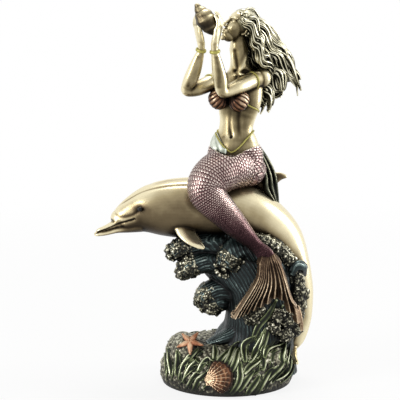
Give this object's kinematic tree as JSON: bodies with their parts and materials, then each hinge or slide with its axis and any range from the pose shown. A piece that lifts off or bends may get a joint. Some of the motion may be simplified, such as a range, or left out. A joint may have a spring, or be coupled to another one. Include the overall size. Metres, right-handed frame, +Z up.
{
  "type": "mermaid figurine",
  "caption": "Cast figurine of a mermaid with a conch shell, riding a leaping dolphin over a breaking wave on a rock base.",
  "frame": {"origin": "middle of the flat underside", "axes": "+Z up, -Y towards the viewer of the front, +X to that viewer's right; the dolphin's beak points to -X"},
  "size_m": [0.1674, 0.0984, 0.289],
  "materials": {
    "bronze_resin": "satin bronze-powder resin with hand-rubbed colour patina"
  },
  "bodies": {
    "root": {"mermaid_figurine": "bronze_resin"}
  },
  "joints": []
}
